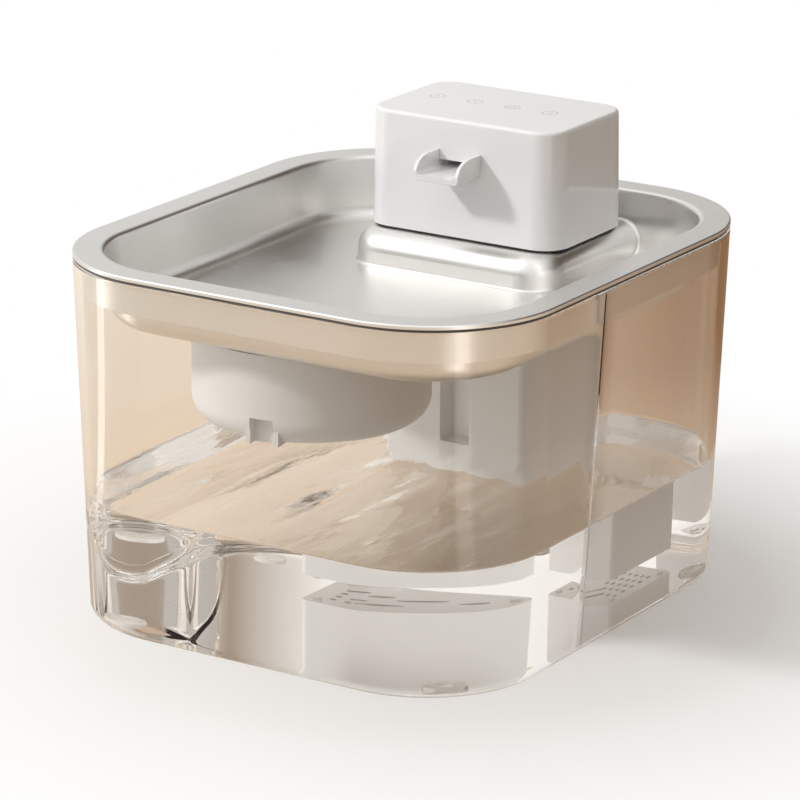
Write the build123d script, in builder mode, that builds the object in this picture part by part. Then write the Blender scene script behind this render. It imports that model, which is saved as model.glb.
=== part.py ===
"""Pet water fountain: a clear tank, a pressed-steel drinking tray that lifts off it, a pump unit that
lifts out of the tray, and a filter box that pulls off the tray's underside.

Millimetres. +Z is up, the spout pours towards -Y, and the origin is on the table under the tank's middle.
"""
import os
from math import atan, cos, degrees, radians, sin, tan

from build123d import *

os.makedirs("parts", exist_ok=True)

# ------------------------------------------------------------------ driving dimensions
# Tank
tank_width = 200.0  # over the lip, left to right
tank_depth = 225.0  # over the lip, front to back
tank_corner = 52.7  # plan radius of the lip's corners
lip_height = 141.4  # table to lip
tank_inset = 5.1  # how far each wall leans in from lip to base
tank_wall = 3.0
tank_floor = 3.6
base_round = 5.0  # outer edge between walls and underside
floor_round = 4.0  # inner edge between walls and floor
lip_round = 0.8
groove_y = -28.7  # upright level groove inside the right wall, at the floor
groove_width = 6.4
groove_depth = 0.7

# Silicone feet
foot_radius = 7.0
foot_thickness = 1.8
foot_recess = 0.8
foot_spacing_x = 132.0
foot_spacing_y = 156.0

# Drinking tray
sheet = 0.8  # steel thickness
gasket_thickness = 1.1
hem_width = 5.5
rim_width = 12.0  # tray edge to basin wall
rim_round = 2.0
basin_depth = 25.2  # rim to drinking floor
basin_inset = 3.0  # how far the basin wall leans in
basin_round = 6.0
platform_width = 92.0
platform_ledge = 9.95  # ahead of the unit
platform_height = 13.3  # above the drinking floor
platform_corner = 15.0
platform_round = 8.0
platform_foot = 1.2  # crease round its foot
platform_lean = 3.0  # degrees
ring_inset = 4.0  # locating ring, in from the tray's edge
ring_height = 13.3
gasket_inset = 0.5

# Pump unit above the platform
unit_room = 21.6  # the unit's width, beyond the length of its cells
unit_depth_room = 39.3  # the unit's depth, beyond the pitch of its cells
unit_corner = 11.25
unit_height = 46.2
unit_inset = 0.83
unit_wall = 2.2
unit_to_edge = 17.65  # unit's back, in from the tray's rear edge
unit_edge_round = 1.5
unit_gasket_thickness = 0.7
unit_gasket_width = 3.0
unit_gasket_inset = 1.2
base_thickness = 2.8

# Spout
spout_width = 20.0
spout_wall = 1.3
spout_reach = 16.8
spout_side = 9.5  # height of the side walls where they leave the unit
spout_floor_thickness = 2.6
spout_under_height = 24.6  # above the unit's underside
spout_round = 3.4
slot_height = 2.9
neck_inset = 0.7  # the neck through the wall, in from the trough's sides and underside
chamber_height = 8.0

# Column below the unit
column_x = -3.1  # its middle, off the unit's
column_side = 9.4  # narrower than the unit, by each side
column_step = 4.95  # in from the unit's front and back
column_corner = 3.0
column_wall = 2.0
recess_width = 14.1
recess_depth = 10.0
recess_offset = 0.5  # its middle, to the right of the column's
recess_height = 75.2
recess_foot = 35.8  # column's lower end to the recess's sill
strainer_thickness = 2.4
strainer_hole = 3.2
strainer_pitch = 6.6
strainer_rows = 5
strainer_columns = 8
nub_radius = 2.0
nub_from_side = 6.0  # nub's middle, in from the column's side
nub_from_front = 5.0  # and in from its front and back
nub_height = 1.2
nub_gap = 0.4  # nubs to tank floor

# Pump
pump_width = 40.0
cover_thickness = 2.0
prefilter_thickness = 4.0
volute_radius = 12.0
volute_depth = 8.2
volute_roof = 4.0
motor_radius = 15.5
motor_height = 33.0
pump_axis_in = 18.9  # in from the column's back
intake_radius = 6.0
impeller_radius = 10.5
blade_count = 6
blade_height = 5.2
blade_thickness = 1.1
hub_radius = 3.2
sleeve_radius = 2.4
shaft_radius = 1.0
magnet_radius = 5.7
magnet_height = 23.0
well_gap = 0.6
riser_radius = 4.3
riser_wall = 1.1
riser_x = 11.6
riser_in = 7.6  # in from the column's front
socket_depth = 6.0
lead_radius = 1.5
lead_x = -16.0

# Electronics
cell_radius = 9.15
cell_length = 65.2
cell_pitch = 18.6
board_thickness = 1.6
touch_pad_radius = 4.0
touch_pad_x = -2.9  # middle of the row of four
touch_pad_pitch = 17.0
touch_pad_back = 2.1  # behind the unit's middle
port_from_side = 18.4  # its middle, in from the unit's side
port_width = 9.0
port_height = 3.2
port_length = 7.4
flap_width = 14.0
flap_height = 8.0
flap_thickness = 1.0
flap_gap = 0.25
screw_radius = 1.3
screw_head_radius = 2.3
screw_head_height = 1.5
boss_radius = 2.8
boss_bite = 0.6  # how far a corner boss runs into the walls
boss_step = 3.6  # unit's bosses, out from the centre of the corner's curve

# Filter box and drain
filter_x = -11.3
filter_to_edge = 65.5  # filter's axis, in from the tray's front edge
filter_radius = 44.8
filter_height = 34.7
filter_wall = 1.8
filter_round = 9.0
filter_gap = 1.0  # box rim to tray underside
notch_angle = 9.0  # degrees from straight ahead, to the right
notch_width = 9.5
notch_height = 10.2
notch_depth = 5.0
collar_skirt = 9.4
drain_radius = 8.0
drain_flange_radius = 9.6
drain_flange_thickness = 1.2
drain_stem_radius = 5.4
drain_stem_length = 11.0
nut_radius = 9.5
nut_height = 4.0
flow_slot_length = 12.0
flow_slot_width = 3.0
flow_hole_radius = 1.6
cartridge_wall = 1.2
cartridge_height = 20.5
pad_thickness = 5.0

# Fits
seat_gap = 0.1  # between faces that rest on each other and part
slip_gap = 0.3  # between pieces that slide past or into each other
passage_gap = 0.6  # column in the platform's opening
press_gap = 0.05  # round a shaft or a moulded spigot

# ------------------------------------------------------------------ derived sizes and heights
unit_width = cell_length + unit_room
unit_depth = cell_pitch + unit_depth_room
unit_y = tank_depth / 2 - unit_to_edge - unit_depth / 2
port_x = port_from_side - unit_width / 2
column_width = unit_width - 2 * column_side
column_depth = unit_depth - 2 * column_step
touch_pad_y = unit_y + touch_pad_back
filter_y = filter_to_edge - tank_depth / 2
base_height = foot_thickness - foot_recess
floor_height = base_height + tank_floor
wall_lean = degrees(atan(tank_inset / (lip_height - base_height)))
rim_underside = lip_height + seat_gap + gasket_thickness
rim_top = rim_underside + 2 * sheet
basin_floor = rim_top - basin_depth
basin_lean = degrees(atan(basin_inset / basin_depth))
tray_underside = basin_floor - sheet
platform_top = basin_floor + platform_height
unit_bottom = platform_top + seat_gap + unit_gasket_thickness
unit_lean = degrees(atan(unit_inset / unit_height))
unit_top = unit_bottom + unit_height
unit_front = unit_y - unit_depth / 2
platform_front = unit_front - platform_ledge
unit_back = unit_y + unit_depth / 2
base_top = unit_bottom + base_thickness
column_front = unit_y - column_depth / 2
column_back = unit_y + column_depth / 2
recess_x = column_x + recess_offset
riser_y = column_front + riser_in
pump_axis_y = column_back - pump_axis_in
strainer_bottom = floor_height + nub_gap + nub_height
column_bottom = strainer_bottom + strainer_thickness
cover_bottom = column_bottom + prefilter_thickness
pump_bottom = cover_bottom + cover_thickness
volute_top = pump_bottom + volute_depth + volute_roof
motor_top = volute_top + motor_height
well_radius = magnet_radius + well_gap
impeller_bottom = pump_bottom + (volute_depth - blade_height - cover_thickness) / 2
backplate_bottom = impeller_bottom + blade_height
magnet_bottom = pump_bottom + volute_depth + well_gap
magnet_top = magnet_bottom + magnet_height
well_top = magnet_top + cover_thickness
cell_height = base_top + cell_radius + 1.1
cell_back_y = unit_back - unit_wall - slip_gap - cell_radius - unit_inset
board_bottom = cell_height + cell_radius + 2.0
board_top = board_bottom + board_thickness
touch_board_top = unit_top - unit_wall
spout_under = unit_bottom + spout_under_height
spout_floor = spout_under + spout_floor_thickness
slot_top = spout_floor + slot_height
filter_top = tray_underside - filter_gap
filter_bottom = filter_top - filter_height
cartridge_radius = filter_radius - filter_wall - 1.9
cartridge_bottom = filter_bottom + filter_wall + slip_gap


def tank_plan(height, inset):
    """Width, depth and corner radius of the tank's outside at a height, moved in by inset."""
    shrink = inset + tank_inset * (lip_height - height) / (lip_height - base_height)
    return tank_width - 2 * shrink, tank_depth - 2 * shrink, tank_corner - shrink


def rim_plan(inset):
    """Width, depth and corner radius of the tray's edge, moved in by inset."""
    return tank_width - 2 * inset, tank_depth - 2 * inset, tank_corner - inset


def flat_edges(part, height):
    """Edges of the level faces of a part that lie at one height."""
    faces = part.faces().filter_by(Axis.Z).filter_by_position(Axis.Z, height - 0.01, height + 0.01)
    return faces.edges()


unit_plane = Plane(origin=(0, unit_y, unit_bottom))
column_plane = Plane(origin=(column_x, unit_y, column_bottom))
filter_plane = Plane(origin=(filter_x, filter_y, filter_bottom))
pump_plane = Plane(origin=(column_x, pump_axis_y, pump_bottom))

# ------------------------------------------------------------------ tank and feet
with BuildPart() as tank:
    with BuildSketch(Plane.XY.offset(base_height)):
        RectangleRounded(*tank_plan(base_height, 0))
    extrude(amount=lip_height - base_height, taper=-wall_lean)
    fillet(tank.edges().group_by(Axis.Z)[0], base_round)
    with BuildSketch(Plane.XY.offset(floor_height)):
        RectangleRounded(*tank_plan(floor_height, tank_wall))
    extrude(amount=lip_height - floor_height, taper=-wall_lean, mode=Mode.SUBTRACT)
    fillet(flat_edges(tank, floor_height), floor_round)
    fillet(flat_edges(tank, lip_height), lip_round)
    # The level groove follows the lean of the wall that it is cut into, and leans back as the rear wall does.
    lean = tan(radians(wall_lean))
    groove_foot = (tank_plan(floor_height, tank_wall)[0] / 2, groove_y, floor_height)
    with BuildSketch(Plane(origin=groove_foot, x_dir=(1, 0, -lean), z_dir=(lean, lean, 1))):
        Ellipse(groove_depth, groove_width / 2)
    extrude(amount=lip_height, mode=Mode.SUBTRACT)
    with BuildSketch(Plane.XY.offset(base_height)):
        with GridLocations(foot_spacing_x, foot_spacing_y, 2, 2):
            Circle(foot_radius + slip_gap)
    extrude(amount=foot_recess, mode=Mode.SUBTRACT)

with BuildPart() as tank_feet:
    with BuildSketch(Plane.XY):
        with GridLocations(foot_spacing_x, foot_spacing_y, 2, 2):
            Circle(foot_radius)
    extrude(amount=foot_thickness)
    fillet(tank_feet.edges().group_by(Axis.Z)[0], 0.5)


# ------------------------------------------------------------------ drinking tray
def platform_form(skin):
    """The block under the raised platform, thinner by skin; it runs out through the rear wall."""
    front = platform_front + skin
    back = tank_depth / 2 + platform_corner
    with BuildPart() as form:
        with BuildSketch(Plane(origin=(0, (front + back) / 2, basin_floor - skin))):
            RectangleRounded(platform_width - 2 * skin, back - front, platform_corner - skin)
        extrude(amount=platform_height, taper=platform_lean)
        fillet(form.edges().group_by(Axis.Z)[-1], platform_round - skin)
    return form.part


def basin_form(skin):
    """The space inside the basin, grown by skin, with the platform standing in it."""
    width, depth, corner = rim_plan(rim_width + basin_inset - skin)
    with BuildPart() as form:
        with BuildSketch(Plane.XY.offset(basin_floor - skin)):
            RectangleRounded(width, depth, corner)
        extrude(amount=basin_depth + skin, taper=-basin_lean)
        fillet(form.edges().group_by(Axis.Z)[0], basin_round + skin)
        add(platform_form(skin), mode=Mode.SUBTRACT)
        # Crease round the platform's foot, short of the rear wall.
        foot = flat_edges(form, basin_floor - skin).filter_by_position(
            Axis.X, -platform_width / 2 - 1.0, platform_width / 2 + 1.0
        )
        foot = foot.filter_by_position(Axis.Y, platform_front - 1.0, tank_depth / 2)
        fillet(foot, platform_foot + skin)
    return form.part


with BuildPart() as drinking_tray:
    with BuildSketch(Plane.XY.offset(rim_top - sheet)):
        RectangleRounded(*rim_plan(0))
    extrude(amount=sheet)
    # The edge of the sheet is folded back under the rim.
    with BuildSketch(Plane.XY.offset(rim_underside)):
        RectangleRounded(*rim_plan(0))
        RectangleRounded(*rim_plan(hem_width), mode=Mode.SUBTRACT)
    extrude(amount=sheet)
    add(basin_form(sheet))
    add(basin_form(0), mode=Mode.SUBTRACT)
    rim_face = drinking_tray.faces().filter_by(Axis.Z).sort_by(Axis.Z)[-1]
    fillet(rim_face.inner_wires()[0].edges(), rim_round)
    rim_face = drinking_tray.faces().filter_by(Axis.Z).sort_by(Axis.Z)[-1]
    fillet(rim_face.outer_wire().edges(), sheet * 0.85)
    # Opening for the pump column, and the drain.
    with BuildSketch(Plane(origin=(column_x, unit_y, platform_top))):
        RectangleRounded(
            column_width + 2 * passage_gap, column_depth + 2 * passage_gap, column_corner + passage_gap
        )
    extrude(amount=-2 * sheet, mode=Mode.SUBTRACT)
    with BuildSketch(Plane(origin=(filter_x, filter_y, basin_floor))):
        Circle(drain_radius)
    extrude(amount=-2 * sheet, mode=Mode.SUBTRACT)

with BuildPart() as locating_ring:
    with BuildSketch(Plane.XY.offset(rim_underside - ring_height)):
        RectangleRounded(*rim_plan(ring_inset))
        RectangleRounded(*rim_plan(ring_inset + sheet), mode=Mode.SUBTRACT)
    extrude(amount=ring_height)

with BuildPart() as rim_gasket:
    with BuildSketch(Plane.XY.offset(rim_underside - gasket_thickness)):
        RectangleRounded(*rim_plan(gasket_inset))
        RectangleRounded(*rim_plan(tank_wall + slip_gap), mode=Mode.SUBTRACT)
    extrude(amount=gasket_thickness)

# ------------------------------------------------------------------ drain and filter box
drain_plane = Plane(origin=(filter_x, filter_y, basin_floor))
collar_radius = filter_radius - filter_wall - slip_gap
collar_top = tray_underside - unit_gasket_thickness

with BuildPart() as drain_strainer:
    with BuildSketch(drain_plane):
        Circle(drain_flange_radius)
    extrude(amount=drain_flange_thickness)
    fillet(drain_strainer.edges().group_by(Axis.Z)[-1], drain_flange_thickness * 0.6)
    with BuildSketch(drain_plane):
        Circle(drain_stem_radius)
    extrude(amount=-drain_stem_length)
    with BuildSketch(drain_plane):
        Circle(drain_stem_radius - cartridge_wall)
    extrude(amount=-drain_stem_length, mode=Mode.SUBTRACT)
    with BuildSketch(drain_plane.offset(drain_flange_thickness)):
        Circle(0.9)
        with PolarLocations(drain_stem_radius * 0.5, 6):
            Circle(0.9)
    extrude(amount=-drain_flange_thickness, mode=Mode.SUBTRACT)

with BuildPart() as drain_seal:
    with BuildSketch(drain_plane.offset(-sheet)):
        Circle(drain_flange_radius + drain_flange_thickness)
        Circle(drain_stem_radius + slip_gap, mode=Mode.SUBTRACT)
    extrude(amount=-unit_gasket_thickness)

with BuildPart() as filter_collar:
    with BuildSketch(Plane(origin=(filter_x, filter_y, collar_top))):
        Circle(collar_radius)
    extrude(amount=-collar_skirt)
    fillet(filter_collar.edges().group_by(Axis.Z)[0], filter_wall / 2)
    with BuildSketch(Plane(origin=(filter_x, filter_y, collar_top - filter_wall))):
        Circle(collar_radius - filter_wall)
    extrude(amount=-collar_skirt, mode=Mode.SUBTRACT)
    with BuildSketch(Plane(origin=(filter_x, filter_y, collar_top))):
        Circle(drain_stem_radius + slip_gap)
    extrude(amount=-filter_wall, mode=Mode.SUBTRACT)

with BuildPart() as drain_nut:
    with BuildSketch(Plane(origin=(filter_x, filter_y, collar_top - filter_wall))):
        Circle(nut_radius)
        with PolarLocations(nut_radius, 12):
            Circle(0.9, mode=Mode.SUBTRACT)
        Circle(drain_stem_radius + press_gap, mode=Mode.SUBTRACT)
    extrude(amount=-nut_height)

with BuildPart() as filter_box:
    with BuildSketch(filter_plane):
        Circle(filter_radius)
    extrude(amount=filter_height)
    fillet(filter_box.edges().group_by(Axis.Z)[0], filter_round)
    offset(amount=-filter_wall, openings=filter_box.faces().sort_by(Axis.Z)[-1])
    # Finger notch: a pocket in the lower front edge, with its own wall behind it.
    notch_turn = Plane(origin=(filter_x, filter_y, filter_bottom), x_dir=(
        cos(radians(notch_angle)), sin(radians(notch_angle)), 0))
    notch_back = notch_depth + filter_wall
    with BuildSketch(notch_turn):
        with Locations((0, -filter_radius + notch_back / 2 + 1.0)):
            Rectangle(notch_width + 2 * filter_wall, notch_back)
    extrude(amount=notch_height + filter_wall)
    with BuildSketch(notch_turn):
        with Locations((0, -filter_radius)):
            Rectangle(notch_width, 2 * notch_depth)
    extrude(amount=notch_height, mode=Mode.SUBTRACT)
    # Outlet slots in the floor.
    with BuildSketch(filter_plane):
        with PolarLocations(filter_radius * 0.5, 10):
            SlotOverall(flow_slot_length, flow_slot_width)
    extrude(amount=filter_wall, mode=Mode.SUBTRACT)

cartridge_plane = Plane(origin=(filter_x, filter_y, cartridge_bottom))
with BuildPart() as cartridge_shell:
    with BuildSketch(cartridge_plane):
        Circle(cartridge_radius - notch_depth)
    extrude(amount=cartridge_height)
    with BuildSketch(cartridge_plane.offset(cartridge_wall)):
        Circle(cartridge_radius - notch_depth - cartridge_wall)
    extrude(amount=cartridge_height, mode=Mode.SUBTRACT)
    with BuildSketch(cartridge_plane):
        with PolarLocations(filter_radius * 0.5, 10):
            SlotOverall(flow_slot_length, flow_slot_width)
        with PolarLocations(filter_radius * 0.22, 5):
            Circle(flow_hole_radius)
    extrude(amount=cartridge_wall, mode=Mode.SUBTRACT)
    # Sealing flange at the cartridge's mouth.
    with BuildSketch(cartridge_plane.offset(cartridge_height - cartridge_wall)):
        Circle(cartridge_radius)
        Circle(cartridge_radius - notch_depth - cartridge_wall / 2, mode=Mode.SUBTRACT)
    extrude(amount=cartridge_wall)

cartridge_bore = cartridge_radius - notch_depth - cartridge_wall - press_gap
with BuildPart() as carbon_bed:
    with BuildSketch(cartridge_plane.offset(cartridge_wall + press_gap)):
        Circle(cartridge_bore)
    extrude(amount=cartridge_height - cartridge_wall - pad_thickness - 2 * press_gap)

with BuildPart() as cotton_pad:
    with BuildSketch(cartridge_plane.offset(cartridge_height - pad_thickness)):
        Circle(cartridge_bore)
    extrude(amount=pad_thickness)
    fillet(cotton_pad.edges().group_by(Axis.Z)[-1], pad_thickness * 0.3)


# ------------------------------------------------------------------ pump unit housing
def unit_plan(inset):
    """Width, depth and corner radius of the unit's underside, moved in by inset."""
    return unit_width - 2 * inset, unit_depth - 2 * inset, unit_corner - inset


shell_boss_x = unit_width / 2 - unit_corner + boss_step
shell_boss_y = unit_depth / 2 - unit_corner + boss_step
column_boss_x = column_width / 2 - column_wall - boss_radius + boss_bite
column_boss_y = column_depth / 4
neck_width = spout_width - 2 * neck_inset
neck_bottom = spout_under + neck_inset
port_middle = board_top + port_height / 2
flap_axis_z = port_middle - flap_height / 2
unit_back_at_port = unit_back - tan(radians(unit_lean)) * (port_middle - unit_bottom)
column_seat_plane = Plane(origin=(column_x, unit_y, base_top))
front_plane = Plane(origin=(0, unit_front, neck_bottom), x_dir=(1, 0, 0), z_dir=(0, -1, 0))
port_plane = Plane(origin=(port_x, unit_back_at_port, port_middle), x_dir=(-1, 0, 0), z_dir=(0, 1, 0))

with BuildPart() as unit_shell:
    with BuildSketch(unit_plane):
        RectangleRounded(*unit_plan(0))
    extrude(amount=unit_height, taper=unit_lean)
    fillet(unit_shell.edges().group_by(Axis.Z)[-1], unit_edge_round)
    with BuildSketch(unit_plane):
        RectangleRounded(*unit_plan(unit_wall))
    extrude(amount=unit_height - unit_wall, taper=unit_lean, mode=Mode.SUBTRACT)
    # Screw bosses hang from the top, in the corners.
    with BuildSketch(Plane(origin=(0, unit_y, base_top))):
        with GridLocations(2 * shell_boss_x, 2 * shell_boss_y, 2, 2):
            Circle(boss_radius)
    extrude(amount=unit_top - unit_wall - base_top)
    with BuildSketch(Plane(origin=(0, unit_y, base_top))):
        with GridLocations(2 * shell_boss_x, 2 * shell_boss_y, 2, 2):
            Circle(screw_radius)
    extrude(amount=base_thickness * 3, mode=Mode.SUBTRACT)
    # Window in the front wall: the spout's neck fills it up to the slot that the water leaves by.
    with BuildSketch(front_plane):
        with Locations((0, -press_gap)):
            Rectangle(
                neck_width + 2 * press_gap, slot_top - neck_bottom + press_gap, align=(Align.CENTER, Align.MIN)
            )
    extrude(amount=-2 * unit_wall, both=True, mode=Mode.SUBTRACT)
    # Charging port in the rear wall, under a flap set flush in a recess.
    with BuildSketch(port_plane.offset(-(flap_thickness + flap_gap))):
        RectangleRounded(flap_width + 2 * flap_gap, flap_height + 2 * flap_gap, flap_gap * 2)
    extrude(amount=unit_wall, mode=Mode.SUBTRACT)
    with BuildSketch(port_plane):
        RectangleRounded(port_width + 2 * flap_gap, port_height + 2 * flap_gap, port_height * 0.4)
    extrude(amount=-2 * unit_wall, mode=Mode.SUBTRACT)

with BuildPart() as unit_base:
    with BuildSketch(unit_plane):
        RectangleRounded(*unit_plan(unit_wall + unit_inset / 2))
    extrude(amount=base_thickness)
    # Passage for the riser tube and the pump lead.
    with BuildSketch(unit_plane):
        with Locations(((riser_x + lead_x) / 2, riser_y - unit_y)):
            SlotOverall(riser_x - lead_x + 2 * riser_radius + 2.0, 2 * riser_radius + 1.0)
    extrude(amount=base_thickness, mode=Mode.SUBTRACT)
    with Locations(unit_plane):
        with GridLocations(2 * shell_boss_x, 2 * shell_boss_y, 2, 2):
            with Locations(Rotation(180, 0, 0)):
                CounterBoreHole(screw_radius, screw_head_radius, screw_head_height, base_thickness)
    with Locations(column_seat_plane):
        with GridLocations(2 * column_boss_x, 2 * column_boss_y, 2, 2):
            CounterBoreHole(screw_radius, screw_head_radius, screw_head_height, base_thickness)

with BuildPart() as unit_gasket:
    with BuildSketch(Plane(origin=(0, unit_y, platform_top + seat_gap))):
        RectangleRounded(*unit_plan(unit_gasket_inset))
        RectangleRounded(*unit_plan(unit_gasket_inset + unit_gasket_width), mode=Mode.SUBTRACT)
    extrude(amount=unit_gasket_thickness)

# ------------------------------------------------------------------ spout and its rear chamber
# The wall leans back, so the trough is cut off along it, a hair clear.
spout_back = unit_front + unit_inset * spout_under_height / unit_height - press_gap
spout_lip_y = unit_front - spout_reach
spout_tip = spout_under + spout_side
chamber_left = -neck_width / 2
chamber_right = riser_x + riser_radius + spout_wall + 0.5
chamber_front = unit_front + unit_wall + unit_inset + slip_gap
chamber_back = riser_y + riser_radius + spout_wall
chamber_bottom = neck_bottom
chamber_top = chamber_bottom + chamber_height
chamber_width = chamber_right - chamber_left
chamber_depth = chamber_back - chamber_front
chamber_middle = ((chamber_left + chamber_right) / 2, (chamber_front + chamber_back) / 2)

with BuildPart() as spout:
    # Trough: a channel with rounded lower corners, cut to the curve of its side walls.
    trough_plane = Plane(origin=(0, spout_back, spout_under), x_dir=(1, 0, 0), z_dir=(0, -1, 0))
    with BuildSketch(trough_plane):
        with Locations((0, spout_side)):
            RectangleRounded(spout_width, 2 * spout_side, spout_round)
    extrude(amount=spout_reach)
    with BuildSketch(trough_plane.offset(-1.0)):
        with Locations((0, spout_floor_thickness + spout_side)):
            RectangleRounded(spout_width - 2 * spout_wall, 2 * spout_side, spout_round - spout_wall)
    extrude(amount=spout_reach + 2.0, mode=Mode.SUBTRACT)
    with BuildSketch(Plane.YZ):
        with BuildLine():
            brow = (spout_lip_y + 0.7 * spout_reach, spout_tip)
            lip = (spout_lip_y, spout_under + 1.4)
            Line((spout_back, spout_tip), brow)
            Spline(
                brow,
                (spout_lip_y + 0.30 * spout_reach, spout_tip - 0.9),
                (spout_lip_y + 0.13 * spout_reach, spout_tip - 2.6),
                (spout_lip_y + 0.03 * spout_reach, spout_tip - 5.2),
                lip,
                tangents=((-1, 0), (-0.1, -1)),
            )
            Polyline(lip, (spout_lip_y + 0.6, spout_under + 0.5), (spout_back, spout_under), (spout_back, spout_tip))
        make_face()
    extrude(amount=spout_width, both=True, mode=Mode.INTERSECT)
    # Neck through the wall: a floor and two sides under the window's upper edge.
    with BuildSketch(front_plane):
        Rectangle(neck_width, slot_top - neck_bottom - press_gap, align=(Align.CENTER, Align.MIN))
        with Locations((0, spout_floor - neck_bottom)):
            Rectangle(
                spout_width - 2 * spout_wall, 2 * slot_height, align=(Align.CENTER, Align.MIN), mode=Mode.SUBTRACT
            )
    extrude(amount=spout_back - chamber_front - spout_wall, both=False)
    # Chamber behind the wall, with a socket for the riser tube under it.
    with BuildSketch(Plane.XY.offset(chamber_bottom)):
        with Locations(chamber_middle):
            Rectangle(chamber_width, chamber_depth)
    extrude(amount=chamber_height)
    with BuildSketch(Plane.XY.offset(chamber_bottom)):
        with Locations((riser_x, riser_y)):
            Circle(riser_radius + spout_wall)
    extrude(amount=-socket_depth)
    with BuildSketch(front_plane.offset(unit_front - chamber_front + slip_gap)):
        with Locations((0, spout_floor - neck_bottom)):
            Rectangle(spout_width - 2 * spout_wall, slot_height - press_gap, align=(Align.CENTER, Align.MIN))
    extrude(amount=-2 * spout_wall, mode=Mode.SUBTRACT)
    with BuildSketch(Plane.XY.offset(chamber_bottom + spout_wall)):
        with Locations(chamber_middle):
            Rectangle(chamber_width - 2 * spout_wall, chamber_depth - 2 * spout_wall)
    extrude(amount=chamber_height - 2 * spout_wall, mode=Mode.SUBTRACT)
    with BuildSketch(Plane.XY.offset(chamber_bottom + spout_wall)):
        with Locations((riser_x, riser_y)):
            Circle(riser_radius + press_gap)
    extrude(amount=-(socket_depth + spout_wall), mode=Mode.SUBTRACT)

with BuildPart() as riser_tube:
    with BuildSketch(Plane(origin=(riser_x, riser_y, volute_top - volute_roof))):
        Circle(riser_radius)
        Circle(riser_radius - riser_wall, mode=Mode.SUBTRACT)
    extrude(amount=chamber_bottom + spout_wall - volute_top + volute_roof)

with BuildPart() as riser_seal:
    seal_section = 0.8
    with BuildSketch(Plane.XZ.offset(-riser_y)):
        with Locations((riser_x + riser_radius + seal_section, chamber_bottom - socket_depth - seal_section)):
            Circle(seal_section - press_gap)
    revolve(axis=Axis((riser_x, riser_y, 0), (0, 0, 1)))

# ------------------------------------------------------------------ column
column_top = unit_bottom
recess_sill = column_bottom + recess_foot
recess_top = recess_sill + recess_height


def column_plan(inset):
    """Width, depth and corner radius of the column, moved in by inset."""
    return column_width - 2 * inset, column_depth - 2 * inset, max(column_corner - inset, 0.6)


with BuildPart() as column_housing:
    with BuildSketch(column_plane):
        RectangleRounded(*column_plan(0))
    extrude(amount=column_top - column_bottom)
    with BuildSketch(column_plane):
        RectangleRounded(*column_plan(column_wall))
    extrude(amount=column_top - column_bottom, mode=Mode.SUBTRACT)
    # Recess down the front wall, with walls of its own inside the column.
    with BuildSketch(Plane.XY.offset(recess_sill - column_wall)):
        with Locations((recess_x, column_front + (recess_depth + column_wall) / 2)):
            Rectangle(recess_width + 2 * column_wall, recess_depth + column_wall)
    extrude(amount=recess_height + 2 * column_wall)
    with BuildSketch(Plane.XY.offset(recess_sill)):
        with Locations((recess_x, column_front + recess_depth / 2)):
            Rectangle(recess_width, recess_depth)
    extrude(amount=recess_height, mode=Mode.SUBTRACT)
    # Screw bosses in the corners, below the unit's base.
    with BuildSketch(Plane(origin=(column_x, unit_y, column_top))):
        with GridLocations(2 * column_boss_x, 2 * column_boss_y, 2, 2):
            Circle(boss_radius)
    extrude(amount=-4 * boss_radius)
    with BuildSketch(Plane(origin=(column_x, unit_y, column_top))):
        with GridLocations(2 * column_boss_x, 2 * column_boss_y, 2, 2):
            Circle(screw_radius)
    extrude(amount=-3 * boss_radius, mode=Mode.SUBTRACT)

with BuildPart() as strainer_plate:
    with BuildSketch(column_plane.offset(-strainer_thickness)):
        RectangleRounded(*column_plan(0))
        with GridLocations(strainer_pitch, strainer_pitch, strainer_columns, strainer_rows):
            Circle(strainer_hole / 2, mode=Mode.SUBTRACT)
    extrude(amount=strainer_thickness)
    # Spigot that snaps into the column and carries the pump cover.
    with BuildSketch(column_plane):
        RectangleRounded(*column_plan(column_wall + slip_gap / 3))
        RectangleRounded(*column_plan(column_wall * 1.7), mode=Mode.SUBTRACT)
    extrude(amount=prefilter_thickness)
    with BuildSketch(column_plane.offset(-strainer_thickness)):
        with GridLocations(column_width - 2 * nub_from_side, column_depth - 2 * nub_from_front, 2, 2):
            Circle(nub_radius)
    extrude(amount=-nub_height)

with BuildPart() as prefilter_foam:
    with BuildSketch(column_plane):
        RectangleRounded(*column_plan(column_wall * 1.7 + press_gap))
    extrude(amount=prefilter_thickness)

# ------------------------------------------------------------------ pump
pump_depth = column_depth - 2 * column_wall - 2 * slip_gap
channel_width = 2 * riser_radius - 2 * riser_wall
channel_reach = pump_axis_y - riser_y
with BuildPart() as volute_cover:
    with BuildSketch(Plane(origin=(column_x, unit_y, cover_bottom))):
        RectangleRounded(*column_plan(column_wall + slip_gap))
    extrude(amount=cover_thickness)
    with BuildSketch(Plane(origin=(column_x, pump_axis_y, cover_bottom))):
        Circle(intake_radius)
    extrude(amount=cover_thickness, mode=Mode.SUBTRACT)
    # Spider that holds the shaft's lower end in the intake.
    with BuildSketch(Plane(origin=(column_x, pump_axis_y, cover_bottom))):
        Rectangle(2 * intake_radius + 1.0, 1.6)
        Rectangle(1.6, 2 * intake_radius + 1.0)
        Circle(2.2)
        Circle(shaft_radius, mode=Mode.SUBTRACT)
    extrude(amount=cover_thickness)

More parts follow.
